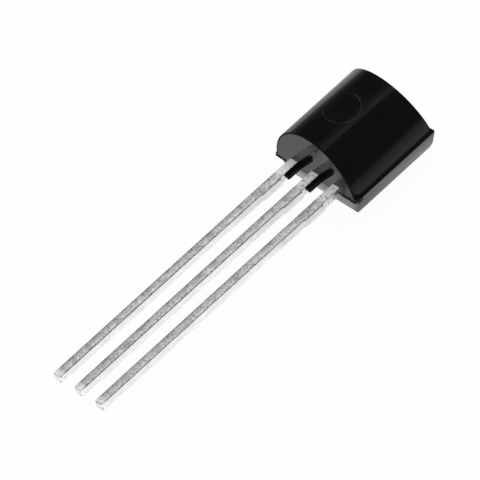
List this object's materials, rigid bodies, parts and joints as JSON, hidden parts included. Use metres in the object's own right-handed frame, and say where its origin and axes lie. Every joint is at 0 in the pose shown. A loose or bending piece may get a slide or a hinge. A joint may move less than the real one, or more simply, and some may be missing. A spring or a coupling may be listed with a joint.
{
  "type": "temperature sensor",
  "caption": "Temperature sensor in a small moulded plastic package with a rounded back, a flat face and a row of straight tinned leads.",
  "frame": {"origin": "on the flat face, below the middle of the moulded body and on the middle lead's centre line", "axes": "+X across the row of leads, +Y along the leads towards the closed end of the body, +Z from the flat face up to the rounded back"},
  "size_m": [0.005, 0.0181, 0.0032],
  "materials": {
    "mould_compound": "smooth, slightly glossy black moulding compound",
    "tinned_lead": "mottled tin plating",
    "silicon": "polished",
    "silver_adhesive": "matte",
    "bond_wire": "bright gold"
  },
  "bodies": {
    "root": {"body": "mould_compound", "lead_left": "tinned_lead", "lead_middle": "tinned_lead", "lead_right": "tinned_lead", "die": "silicon", "die_adhesive": "silver_adhesive", "wire_left": "bond_wire", "wire_middle": "bond_wire", "wire_right": "bond_wire"}
  },
  "joints": []
}
